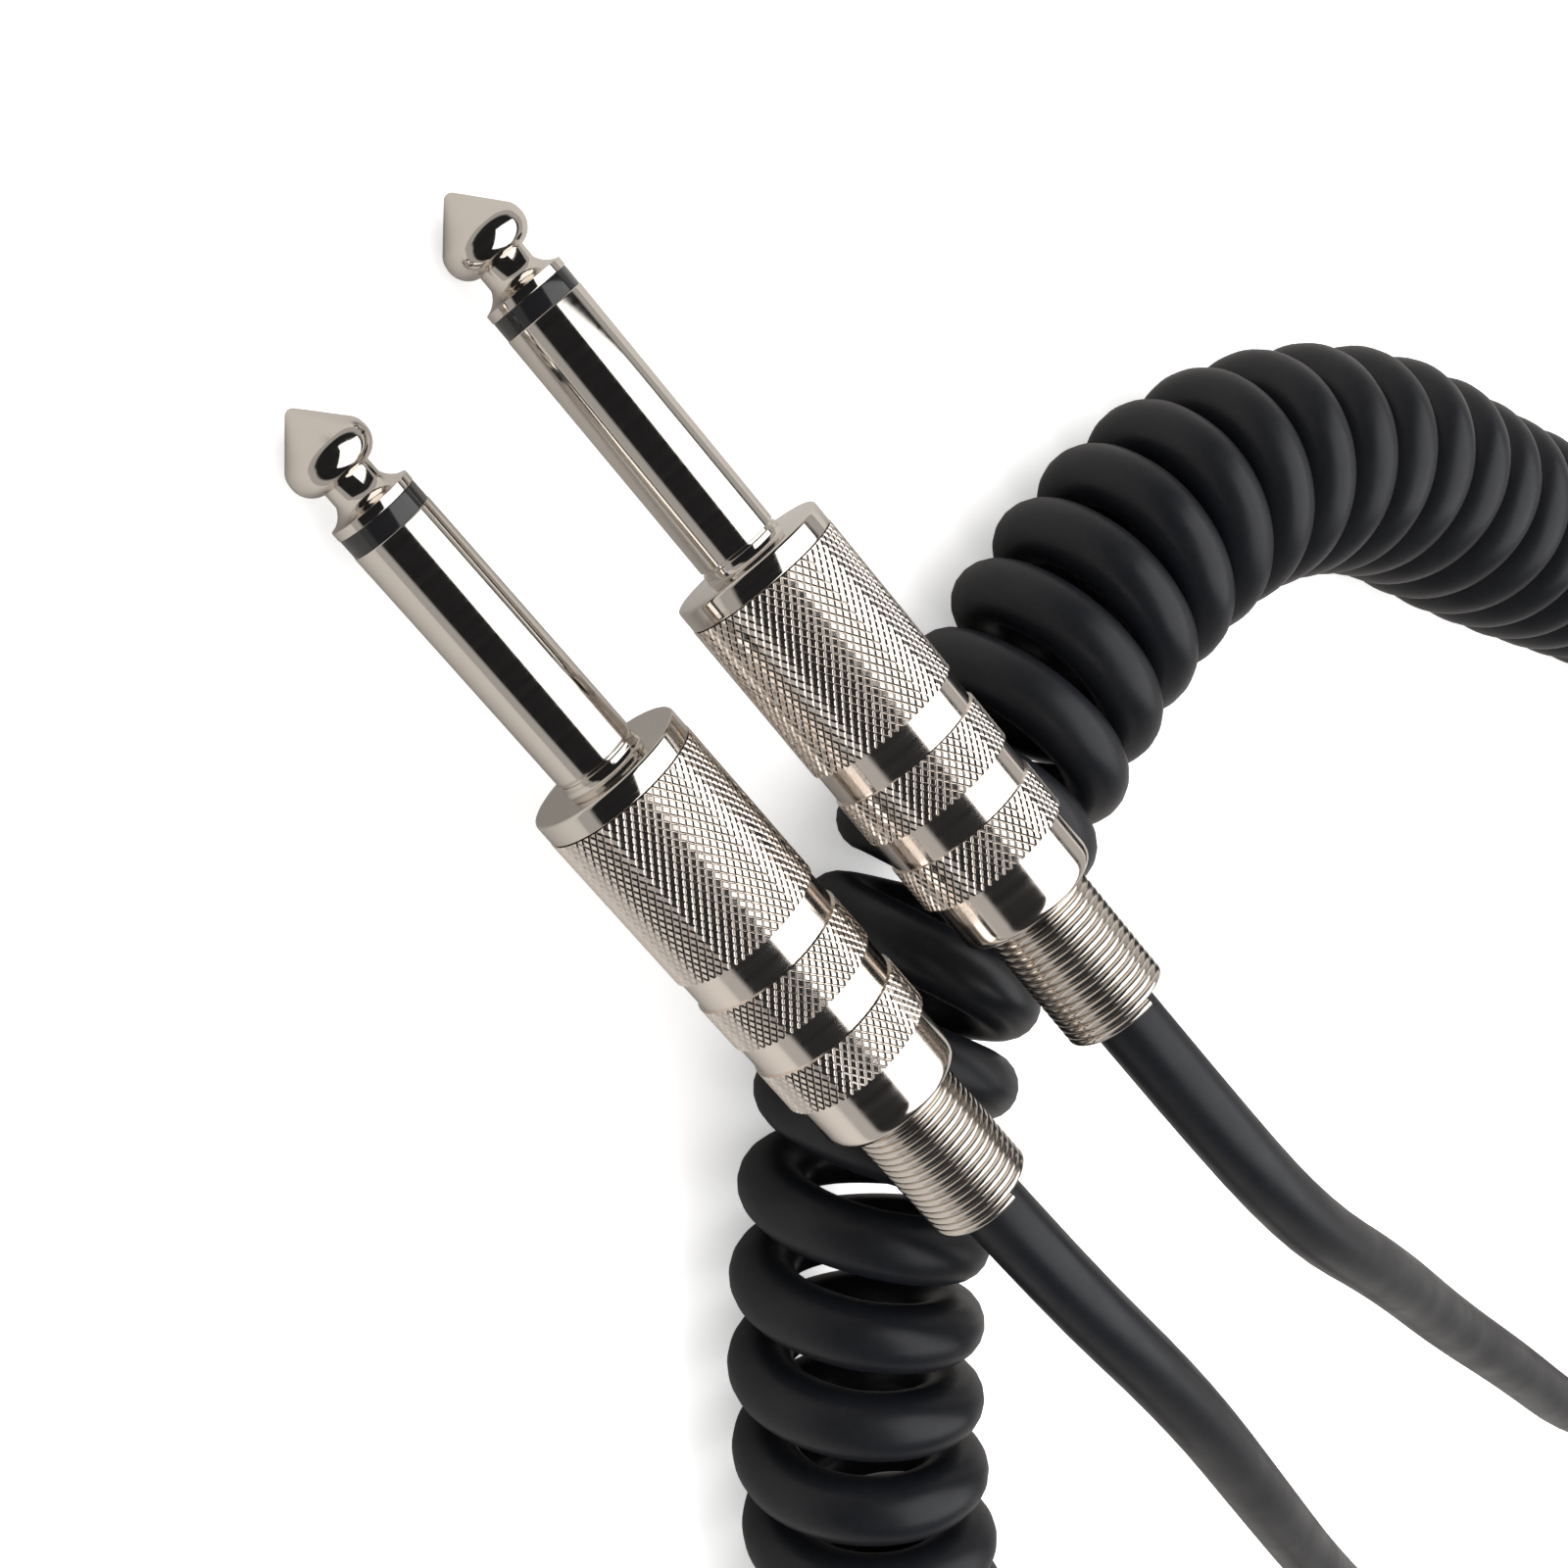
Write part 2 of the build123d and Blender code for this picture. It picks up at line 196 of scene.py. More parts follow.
BLACK_ACETAL = Finish(
    "black_acetal", (0.010, 0.010, 0.011), roughness=(0.08, 0.16), mark_scale=(0.4, 8.0, 1.0), mark_size=1.0,
    relief_depth=0.00002, grain=Grain.TURNED, coat=0.4,
)
BLACK_JACKET = Finish(
    "black_jacket", (0.0078, 0.0085, 0.0112), roughness=(0.32, 0.44), mark_size=1400.0, relief=0.12,
    relief_depth=0.00004, specular=0.36, shade_range=0.25,
)
LUG_BRASS = Finish("lug_brass", (0.72, 0.54, 0.27), metallic=1.0, roughness=(0.25, 0.42), mark_size=700.0)
WASHER_FIBRE = Finish("washer_fibre", (0.34, 0.07, 0.035), roughness=(0.6, 0.8), mark_size=1200.0, relief=0.2)
CORE_INSULATION = Finish("core_insulation", (0.80, 0.77, 0.68), roughness=(0.3, 0.45))
SHIELD_COPPER = Finish(
    "shield_copper", (0.72, 0.30, 0.15), metallic=1.0, roughness=(0.25, 0.4), mark_size=2500.0, relief=0.5
)
TIN_SOLDER = Finish("tin_solder", (0.62, 0.62, 0.60), metallic=1.0, roughness=(0.25, 0.4), mark_size=900.0)
LINER_PLASTIC = Finish("liner_plastic", (0.70, 0.72, 0.69), roughness=(0.25, 0.4), coat=0.2)
INNER_FINISHES = {
    "ground_lug": LUG_BRASS,
    "tip_lug": LUG_BRASS,
    "rear_washer": WASHER_FIBRE,
    "core_wire": CORE_INSULATION,
    "shield_wire": SHIELD_COPPER,
    "tip_solder": TIN_SOLDER,
    "ground_solder": TIN_SOLDER,
    "liner_tube": LINER_PLASTIC,
    "cable_end": BLACK_JACKET,
}


# ------------------------------------------------------------------------------------------ shapes


def rounded(corners: Sequence[Spot], steps: int = 4) -> Outline:
    """Outline through corners, each turned with its own rounding.

    Args:
        corners: (station, radius, rounding) of each corner; a rounding of 0 keeps it sharp.
        steps: Spans of each rounded corner.

    Returns:
        The outline's points.
    """
    points: Outline = []
    for place, (station, radius, rounding) in enumerate(corners):
        here = Vector((station, radius))
        if rounding <= 0 or place in (0, len(corners) - 1):
            points.append(tuple(here))
            continue
        back = Vector(corners[place - 1][:2]) - here
        ahead = Vector(corners[place + 1][:2]) - here
        start = here + back.normalized() * min(rounding, back.length * MOST_OF_HALF)
        end = here + ahead.normalized() * min(rounding, ahead.length * MOST_OF_HALF)
        for step in range(steps + 1):
            share = step / steps
            points.append(tuple(start.lerp(here, share).lerp(here.lerp(end, share), share)))
    return points


def arc(start: Flat, middle: Flat, end: Flat, steps: int) -> Outline:
    """Circular arc through three points of an outline.

    Args:
        start: First point.
        middle: A point on the way.
        end: Last point.
        steps: Spans of the arc.

    Returns:
        The arc's points, both ends included.
    """
    (ax, ay), (bx, by), (cx, cy) = start, middle, end
    twice_area = 2 * (ax * (by - cy) + bx * (cy - ay) + cx * (ay - by))
    a2, b2, c2 = ax * ax + ay * ay, bx * bx + by * by, cx * cx + cy * cy
    centre = Vector((
        (a2 * (by - cy) + b2 * (cy - ay) + c2 * (ay - by)) / twice_area,
        (a2 * (cx - bx) + b2 * (ax - cx) + c2 * (bx - ax)) / twice_area,
    ))
    size = (Vector(start) - centre).length
    angles = [math.atan2(y - centre.y, x - centre.x) for x, y in (start, middle, end)]
    sweep = (angles[2] - angles[0]) % math.tau
    if (angles[1] - angles[0]) % math.tau > sweep:
        sweep -= math.tau
    turns = [angles[0] + sweep * step / steps for step in range(steps + 1)]
    return [(centre.x + size * math.cos(turn), centre.y + size * math.sin(turn)) for turn in turns]


def at_angle(angle: float, radius: float, station: float) -> Spot:
    """Point round a plug's axis, in millimetres."""
    return (radius * math.cos(angle), radius * math.sin(angle), station)


@dataclass
class Skin:
    """Surface of one piece in its plug's own frame: millimetres, with the plug's axis along Z."""

    points: list[Spot] = field(default_factory=list)
    faces: list[tuple[int, ...]] = field(default_factory=list)

    def turn(self, outline: Outline, segments: int, closed: bool = False) -> None:
        """Turn an outline about the axis.

        Args:
            outline: (station, radius) points; a radius of 0 makes a pole.
            segments: Faces round the axis.
            closed: Whether the last point joins the first, as on a tube.
        """
        rings = []
        for station, radius in outline:
            if radius < NEAR_AXIS_MM:
                rings.append([len(self.points)] * segments)
                self.points.append((0.0, 0.0, station))
                continue
            rings.append([len(self.points) + step for step in range(segments)])
            self.points += [at_angle(math.tau * step / segments, radius, station) for step in range(segments)]
        pairs = list(zip(rings[:-1], rings[1:])) + ([(rings[-1], rings[0])] if closed else [])
        for first, second in pairs:
            for step in range(segments):
                after = (step + 1) % segments
                corners = (first[step], second[step], second[after], first[after])
                self.faces.append(tuple(dict.fromkeys(corners)))

    def take(self, mesh: bpy.types.Mesh) -> None:
        """Add a mesh's faces to the skin.

        Args:
            mesh: The mesh, which is removed.
        """
        base = len(self.points)
        self.points += [tuple(vertex.co) for vertex in mesh.vertices]
        self.faces += [tuple(base + corner for corner in polygon.vertices) for polygon in mesh.polygons]
        bpy.data.meshes.remove(mesh)

    def piece(self, name: str, place: Matrix, finish: Finish, sharp_angle: float = 32.0) -> bpy.types.Object:
        """Make the skin a finished object, with its place in its mesh and a UV map round the axis.

        Args:
            name: The piece's name.
            place: The plug's frame in the row's frame, in metres.
            finish: The piece's finish.
            sharp_angle: Edges that turn by more degrees than this stay sharp.

        Returns:
            The object, at the origin.
        """
        mesh = bpy.data.meshes.new(name)
        mesh.from_pydata(self.points, [], self.faces)
        shape = bmesh.new()
        shape.from_mesh(mesh)
        bmesh.ops.remove_doubles(shape, verts=shape.verts, dist=SAME_POINT_MM)
        bmesh.ops.recalc_face_normals(shape, faces=shape.faces)
        layer = shape.loops.layers.uv.new("turning")
        for polygon in shape.faces:
            middle = polygon.calc_center_median()
            facing = math.atan2(middle.y, middle.x)
            for loop in polygon.loops:
                corner = loop.vert.co
                on_axis = math.hypot(corner.x, corner.y) < SAME_POINT_MM
                turned = 0.0 if on_axis else math.remainder(math.atan2(corner.y, corner.x) - facing, math.tau)
                loop[layer].uv = ((facing + turned) / math.tau, corner.z)
        shape.to_mesh(mesh)
        shape.free()
        mesh.transform(place @ Matrix.Scale(MM, 4))
        mesh.shade_smooth()
        mesh.set_sharp_from_angle(angle=math.radians(sharp_angle))
        mesh.materials.append(finish.made())
        made = bpy.data.objects.new(name, mesh)
        bpy.context.scene.collection.objects.link(made)
        return made


# ------------------------------------------------------------------------------------------ trees


class Wiring:
    """Small helper that adds nodes to a Geometry Nodes tree and links them."""

    def __init__(self, name: str) -> None:
        """Start a tree that takes and gives geometry.

        Args:
            name: The tree's name.
        """
        self.tree = bpy.data.node_groups.new(name, "GeometryNodeTree")
        self.tree.is_modifier = True
        socket(self.tree, "Geometry", "INPUT", "NodeSocketGeometry")
        socket(self.tree, "Geometry", "OUTPUT", "NodeSocketGeometry")
        self.given = self.tree.nodes.new("NodeGroupInput")
        self.out = self.tree.nodes.new("NodeGroupOutput")

    def takes(self, kind: str, *names: str) -> None:
        """Add named inputs of one kind.

        Args:
            kind: The sockets' Blender type.
            *names: Their names.
        """
        for name in names:
            socket(self.tree, name, "INPUT", kind)

    def node(
        self, kind: str, settings: dict[str, object] | None = None, **inputs: object
    ) -> bpy.types.Node:
        """Add a node.

        Args:
            kind: The node's Blender type.
            settings: Its properties.
            **inputs: Its sockets by name, with _ for a space: a socket to link or a value to set.

        Returns:
            The new node.
        """
        made = self.tree.nodes.new(kind)
        for name, value in (settings or {}).items():
            setattr(made, name, value)
        for name, value in inputs.items():
            self.feed(made.inputs[name.replace("_", " ")], value)
        return made

    def feed(self, target: bpy.types.NodeSocket, value: object) -> None:
        """Link a socket to another one, or set its value.

        Args:
            target: The socket to feed.
            value: A socket to link, or the value to set.
        """
        if isinstance(value, bpy.types.NodeSocket):
            self.tree.links.new(value, target)
        else:
            target.default_value = value

    def maths(self, operation: str, first: object, second: object = 0.0) -> bpy.types.NodeSocket:
        """Add one Math node.

        Args:
            operation: What it does.
            first: Its first number or socket.
            second: Its second number or socket.

        Returns:
            The socket of its result.
        """
        made = self.tree.nodes.new("ShaderNodeMath")
        made.operation = operation
        self.feed(made.inputs[0], first)
        self.feed(made.inputs[1], second)
        return made.outputs[0]

    def ends(self, geometry: bpy.types.NodeSocket) -> bpy.types.NodeTree:
        """Realize the instances, give them their finish and finish the tree.

        Args:
            geometry: The geometry to hand out.

        Returns:
            The tree.
        """
        real = self.node("GeometryNodeRealizeInstances", Geometry=geometry)
        welded = self.node("GeometryNodeMergeByDistance", Geometry=real.outputs[0], Distance=SAME_POINT_MM)
        dressed = self.node(
            "GeometryNodeSetMaterial", Geometry=welded.outputs[0], Material=self.given.outputs["Finish"]
        )
        self.tree.links.new(dressed.outputs[0], self.out.inputs[0])
        return self.tree


def knurl_tree() -> bpy.types.NodeTree:
    """Tree that repeats one knurl diamond round the axis, in rows that are half a diamond apart.

    Returns:
        The tree, with inputs Starts, Rows, Stagger, First Station, Row Step and Finish.
    """
    known = bpy.data.node_groups.get("KnurlRows")
    if known:
        return known
    wiring = Wiring("KnurlRows")
    wiring.takes("NodeSocketInt", "Starts", "Rows", "Stagger")
    wiring.takes("NodeSocketFloat", "First Station", "Row Step")
    wiring.takes("NodeSocketMaterial", "Finish")
    given = wiring.given.outputs
    index = wiring.node("GeometryNodeInputIndex").outputs[0]
    row = wiring.maths("FLOOR", wiring.maths("DIVIDE", wiring.maths("ADD", index, 0.5), given["Starts"]))
    column = wiring.maths("MODULO", index, given["Starts"])
    odd = wiring.maths("MODULO", wiring.maths("ADD", row, given["Stagger"]), 2.0)
    places = wiring.maths("ADD", column, wiring.maths("MULTIPLY", odd, 0.5))
    angle = wiring.maths("DIVIDE", wiring.maths("MULTIPLY", places, math.tau), given["Starts"])
    station = wiring.maths("ADD", given["First Station"], wiring.maths("MULTIPLY", row, given["Row Step"]))
    count = wiring.maths("MULTIPLY", given["Starts"], given["Rows"])
    line = wiring.node("GeometryNodeMeshLine", {"mode": "OFFSET"}, Count=count, Offset=(0.0, 0.0, 0.0))
    spots = wiring.node(
        "GeometryNodeSetPosition", Geometry=line.outputs[0],
        Position=wiring.node("ShaderNodeCombineXYZ", Z=station).outputs[0],
    )
    cells = wiring.node(
        "GeometryNodeInstanceOnPoints", Points=spots.outputs[0], Instance=given["Geometry"],
        Rotation=wiring.node("ShaderNodeCombineXYZ", Z=angle).outputs[0],
    )
    return wiring.ends(cells.outputs[0])


def wire_tree() -> bpy.types.NodeTree:
    """Tree that winds a wire round the axis.

    Returns:
        The tree, with inputs Sides, Turns, Pitch, Start Radius, End Radius, Wire Radius, Start Angle,
        First Station and Finish.
    """
    known = bpy.data.node_groups.get("WoundWire")
    if known:
        return known
    wiring = Wiring("WoundWire")
    wiring.takes("NodeSocketInt", "Sides")
    wiring.takes(
        "NodeSocketFloat", "Turns", "Pitch", "Start Radius", "End Radius", "Wire Radius", "Start Angle",
        "First Station",
    )
    wiring.takes("NodeSocketMaterial", "Finish")
    given = wiring.given.outputs
    spiral = wiring.node(
        "GeometryNodeCurveSpiral", Resolution=WIRE_STEPS_PER_TURN, Rotations=given["Turns"],
        Start_Radius=given["Start Radius"], End_Radius=given["End Radius"],
        Height=wiring.maths("MULTIPLY", given["Pitch"], given["Turns"]),
    )
    placed = wiring.node(
        "GeometryNodeTransform", Geometry=spiral.outputs[0],
        Translation=wiring.node("ShaderNodeCombineXYZ", Z=given["First Station"]).outputs[0],
        Rotation=wiring.node("ShaderNodeCombineXYZ", Z=given["Start Angle"]).outputs[0],
    )
    section = wiring.node(
        "GeometryNodeCurvePrimitiveCircle", {"mode": "RADIUS"}, Resolution=given["Sides"],
        Radius=given["Wire Radius"],
    )
    wire = wiring.node(
        "GeometryNodeCurveToMesh", Curve=placed.outputs[0], Profile_Curve=section.outputs[0], Fill_Caps=True
    )
    return wiring.ends(wire.outputs[0])


def grown(seed: bpy.types.Mesh, tree: bpy.types.NodeTree, sizes: dict[str, object]) -> bpy.types.Mesh:
    """Run a Geometry Nodes tree on a mesh.

    Args:
        seed: The mesh that the tree starts from; it is removed.
        tree: The tree.
        sizes: The tree's inputs by name.

    Returns:
        The plain mesh that the tree makes.
    """
    holder = bpy.data.objects.new("seed", seed)
    bpy.context.scene.collection.objects.link(holder)
    modifier = holder.modifiers.new(tree.name, "NODES")
    modifier.node_group = tree
    for item in tree.interface.items_tree:
        if item.item_type == "SOCKET" and item.in_out == "INPUT" and item.name in sizes:
            modifier[item.identifier] = sizes[item.name]
    depsgraph = bpy.context.evaluated_depsgraph_get()
    made = bpy.data.meshes.new_from_object(holder.evaluated_get(depsgraph), depsgraph=depsgraph)
    bpy.data.objects.remove(holder)
    bpy.data.meshes.remove(seed)
    return made


# ------------------------------------------------------------------------------------------ plugs


class Cut(Enum):
    """Which part of a knurl diamond a row holds."""

    WHOLE = 0
    FRONT_EDGE = 1
    REAR_EDGE = -1


@dataclass(frozen=True)
class Knurl:
    """Diamond knurl: flat-topped diamonds between V grooves."""

    starts: int = 62
    axial_pitch: float = 0.88
    depth: float = 0.075
    flat_share: float = 0.6

    def cell(self, outer: float, cut: Cut, step: float, foot: float) -> bpy.types.Mesh:
        """One diamond at angle 0 and station 0.

        Args:
            outer: Radius of the diamonds' tops.
            cut: The part of it to make; half a diamond has its end wall.
            step: Half of a diamond's length.
            foot: Radius that the end wall reaches down to.

        Returns:
            The diamond's mesh, in millimetres.
        """
        half, flat = math.pi / self.starts, self.flat_share
        if cut is Cut.WHOLE:
            rim = [(half, 0.0), (0.0, step), (-half, 0.0), (0.0, -step)]
            faces = [(4, 5, 6, 7)]
            faces += [(edge, (edge + 1) % 4, 4 + (edge + 1) % 4, 4 + edge) for edge in range(4)]
            wall = []
        else:
            rim = [(half, 0.0), (0.0, cut.value * step), (-half, 0.0)]
            faces = [(3, 4, 5), (0, 1, 4, 3), (1, 2, 5, 4), (0, 3, 5, 2, 8, 7, 6)]
            wall = [at_angle(angle, foot, 0.0) for angle in (half, 0.0, -half)]
        groove = [at_angle(angle, outer - self.depth, station) for angle, station in rim]
        top = [at_angle(angle * flat, outer, station * flat) for angle, station in rim]
        points = groove + top + wall
        mesh = bpy.data.meshes.new("knurl_cell")
        mesh.from_pydata(points, [], faces)
        return mesh

    def band(
        self, skin: Skin, start: float, end: float, outer: float, feet: Flat, finish: Finish
    ) -> None:
        """Add one knurled band to a skin.

        Args:
            skin: The barrel's skin.
            start: Station of the band's front edge.
            end: Station of its rear edge.
            outer: Radius of the diamonds' tops.
            feet: Radii that the band's front and rear walls reach down to.
            finish: The barrel's finish.
        """
        steps = round(2 * (end - start) / self.axial_pitch)
        step = (end - start) / steps
        runs = [
            (Cut.FRONT_EDGE, 0, start, 1, feet[0]),
            (Cut.WHOLE, 1, start + step, steps - 1, 0.0),
            (Cut.REAR_EDGE, steps, end, 1, feet[1]),
        ]
        for cut, stagger, station, rows, foot in runs:
            sizes = {
                "Starts": self.starts, "Rows": rows, "Stagger": stagger % 2, "First Station": station,
                "Row Step": step, "Finish": finish.made(),
            }
            skin.take(grown(self.cell(outer, cut, step, foot), knurl_tree(), sizes))


@dataclass
class JackPlug:
    """One straight jack plug: its sizes in millimetres, as stations from the tip's apex and radii."""

    letter: str
    shaft_radius: float = 3.175
    apex_radius: float = 0.55
    cone_half_angle: float = 42.0
    cone_shoulder_drop: float = 0.3
    shoulder_bulge: Flat = (0.02, 0.09)
    ball_station: float = 3.7
    ball_rear_shares: Flat = (0.72, 0.71)
    flare_shares: Flat = (0.62, 0.36)
    neck: Flat = (5.6, 6.7)
    neck_radius: float = 1.85
    collar: Flat = (7.8, 8.5)
    rod_radius: float = 1.0
    rivet: Flat = (39.75, 40.55)
    rivet_radius: float = 1.7
    insulator_radius: float = 3.125
    insulator_end: float = 10.0
    inner_tube_radius: float = 1.75
    inner_tube_end: float = 38.25
    shaft_groove: Flat = (30.5, 30.75)
    shaft_groove_depth: float = 0.2
    face: float = 31.5
    flange_radius: float = 6.1
    flange_end: float = 33.25
    boss_end: float = 37.75
    boss_root_radius: float = 4.55
    thread_pitch: float = 0.75
    thread_ridge_radius: float = 0.3
    thread_start: float = 0.55
    thread_runout: float = 1.0
    barrel_radius: float = 6.15
    band_edges: tuple[float, ...] = (33.3, 46.6, 49.25, 53.0, 55.65, 59.3, 63.85)
    ring_radius: float = 5.95
    rear_radius: float = 5.65
    bore_radius: float = 4.96
    floor_station: float = 59.35
    rear_hole_radius: float = 4.27
    rear_round: float = 1.25
    spring_end: float = 74.55
    spring_wire_radius: float = 0.31
    spring_radius: float = 3.96
    spring_shoulder_radius: float = 4.5
    spring_turns: int = 24
    spring_shoulder_turns: float = 1.5
    spring_shoulder_pitch: float = 0.3
    spring_shoulder_setback: float = 0.6
    spring_shoulder_taper: float = 0.1
    tail_start_in_spring: float = 11.0
    tail_straight: float = 8.5
    segments: int = 124
    knurl: Knurl = Knurl()
    place: Matrix = field(init=False)

    def __post_init__(self) -> None:
        """Find where the plug lies from its barrel's joint."""
        joint = next(joint for joint in frame["joints"] if joint["name"] == f"barrel_turn_{self.letter}")
        along = Vector(joint["axis"]).normalized()
        apex = Vector(joint["pos_m"]) - along * self.band_edges[0] * MM
        across = along.cross(Vector((0, 0, 1))).normalized()
        over = across.cross(along)
        axes = Matrix((over, across, along)).transposed().to_4x4()
        self.place = Matrix.Translation(apex) @ axes

    def point(self, station: float) -> Vector:
        """Point on the plug's axis, in the row's frame, in metres."""
        return self.place @ Vector((0, 0, station * MM))

    def named(self, piece: str) -> str:
        """Name of this plug's piece."""
        return f"{piece}_{self.letter}"

    def standing_for(self, made: bpy.types.Object, node: str, body: str) -> bpy.types.Object:
        """Put a piece on its body in place of its CAD node.

        Args:
            made: The piece.
            node: The CAD node's name without its letter.
            body: The body that it rides on.

        Returns:
            The piece.
        """
        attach(made, body)
        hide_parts(self.named(node))
        log.info("%s stands for %s, %d faces", made.name, self.named(node), len(made.data.polygons))
        return made

    def tip(self) -> bpy.types.Object:
        """Cone, ball, neck, flare and collar of the tip, with its rod and rivet head.

        Returns:
            The tip, on its body.
        """
        lean = math.radians(self.cone_half_angle)
        cone_start = (self.apex_radius * (1 - math.sin(lean)), self.apex_radius * math.cos(lean))
        shoulder = self.shaft_radius - self.cone_shoulder_drop
        cone_end = (cone_start[0] + (shoulder - cone_start[1]) / math.tan(lean), shoulder)
        apex_lean = math.radians(45 + self.cone_half_angle / 2)
        apex_middle = (self.apex_radius * (1 - math.sin(apex_lean)), self.apex_radius * math.cos(apex_lean))
        rise = self.shaft_radius - self.neck_radius
        neck_start, neck_end = self.neck
        back, out = self.ball_rear_shares
        ball_back = self.ball_station + back * (neck_start - self.ball_station)
        ball_middle = (ball_back, self.neck_radius + out * rise)
        back, out = self.flare_shares
        flare_middle = (neck_end + back * (self.collar[0] - neck_end), self.neck_radius + out * rise)
        ball = (self.ball_station, self.shaft_radius)
        back, out = self.shoulder_bulge
        over = ((cone_end[0] + self.ball_station) / 2 - back, self.shaft_radius - out)
        outline = [
            (0.0, 0.0),
            *arc((0.0, 0.0), apex_middle, cone_start, 8)[1:],
            *arc(cone_end, over, ball, 8),
            *arc(ball, ball_middle, (neck_start, self.neck_radius), 20)[1:],
            *arc((neck_end, self.neck_radius), flare_middle, (self.collar[0], self.shaft_radius - 0.02), 14),
            *rounded([
                (self.collar[0], self.shaft_radius - 0.02, 0.0),
                (self.collar[0] + 0.02, self.shaft_radius, 0.0),
                (self.collar[1], self.shaft_radius, 0.08),
                (self.collar[1], self.rod_radius, 0.0),
                (self.rivet[0], self.rod_radius, 0.0),
                (self.rivet[0], self.rivet_radius, 0.1),
                (self.rivet[1], self.rivet_radius, 0.3),
                (self.rivet[1], 0.0, 0.0),
            ])[1:],
        ]
        skin = Skin()
        skin.turn(outline, self.segments)
        made = skin.piece(self.named("tip"), self.place, NICKEL_SHAFT)
        return self.standing_for(made, "tip_contact", "root")

    def insulator(self) -> bpy.types.Object:
        """Glossy black ring behind the tip, with the tube that lines the shaft.

        Returns:
            The ring, on its body.
        """
        outline = rounded([
            (self.collar[1], self.rod_radius, 0.0),
            (self.collar[1], self.insulator_radius, 0.06),
            (self.insulator_end, self.insulator_radius, 0.06),
            (self.insulator_end, self.inner_tube_radius, 0.0),
            (self.inner_tube_end, self.inner_tube_radius, 0.0),
            (self.inner_tube_end, self.rod_radius, 0.0),
        ])
        skin = Skin()
        skin.turn(outline, self.segments, closed=True)
        made = skin.piece(self.named("insulator"), self.place, BLACK_ACETAL)
        return self.standing_for(made, "tip_insulator", "root")

    def sleeve(self) -> bpy.types.Object:
        """Polished shaft, front flange and boss.

        Returns:
            The sleeve, on its body.
        """
        groove_start, groove_end = self.shaft_groove
        groove_floor = self.shaft_radius - self.shaft_groove_depth
        outline = rounded([
            (self.insulator_end, self.inner_tube_radius, 0.0),
            (self.insulator_end, self.shaft_radius, 0.1),
            (groove_start, self.shaft_radius, 0.04),
            (groove_start, groove_floor, 0.03),
            (groove_end, groove_floor, 0.03),
            (groove_end, self.shaft_radius, 0.04),
            (self.face - 0.35, self.shaft_radius, 0.05),
            (self.face, self.shaft_radius + 0.12, 0.12),
            (self.face, self.flange_radius, 0.28),
            (self.flange_end, self.flange_radius, 0.12),
            (self.flange_end, self.boss_root_radius, 0.1),
            (self.boss_end, self.boss_root_radius, 0.15),
            (self.boss_end, self.inner_tube_radius, 0.0),
        ])
        skin = Skin()
        skin.turn(outline, self.segments, closed=True)
        made = skin.piece(self.named("sleeve"), self.place, NICKEL_SHAFT)
        return self.standing_for(made, "sleeve_contact", "root")

    def thread(self) -> bpy.types.Object:
        """Screw thread that winds round the boss.

        Returns:
            The thread, on its body.
        """
        sizes = {
            "Sides": 4, "Turns": (self.boss_end - self.flange_end) / self.thread_pitch - self.thread_runout,
            "Pitch": self.thread_pitch, "Start Radius": self.boss_root_radius,
            "End Radius": self.boss_root_radius, "Wire Radius": self.thread_ridge_radius, "Start Angle": 0.0,
            "First Station": self.flange_end + self.thread_start * self.thread_pitch,
            "Finish": NICKEL_SHAFT.made(),
        }
        skin = Skin()
        skin.take(grown(bpy.data.meshes.new("seed"), wire_tree(), sizes))
        made = skin.piece(self.named("boss_thread"), self.place, NICKEL_SHAFT)
        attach(made, "root")
        return made

    def barrel(self) -> bpy.types.Object:
        """Screwed barrel: three knurled bands, two plain rings and a plain, rounded rear.

        Returns:
            The barrel, on its body.
        """
        edges = self.band_edges
        skin = Skin()
        skin.turn(rounded([
            (edges[0], self.rear_radius, 0.0),
            (edges[0], self.bore_radius, 0.0),
            (self.floor_station, self.bore_radius, 0.0),
            (self.floor_station, self.rear_hole_radius, 0.0),
            (edges[6], self.rear_hole_radius, 0.15),
            (edges[6], self.rear_radius, self.rear_round),
            (edges[5], self.rear_radius, 0.0),
        ], 10), self.segments)
        for start, end in ((edges[1], edges[2]), (edges[3], edges[4])):
            skin.turn([(end, self.ring_radius), (start, self.ring_radius)], self.segments)
        feet = (self.rear_radius, self.ring_radius, self.ring_radius, self.rear_radius)
        for band, (front_foot, rear_foot) in enumerate(zip(feet[:-1], feet[1:])):
            start, end = edges[2 * band], edges[2 * band + 1]
            self.knurl.band(skin, start, end, self.barrel_radius, (front_foot, rear_foot), NICKEL_KNURL_PAINTED_BRIGHTER)
        # The barrel wears the nickel that is painted brighter than the shaft's, a painted highlight.
        made = skin.piece(self.named("knurled_barrel"), self.place, NICKEL_KNURL_PAINTED_BRIGHTER, 20.0)
        return self.standing_for(made, "barrel", f"screw_barrel_{self.letter}")

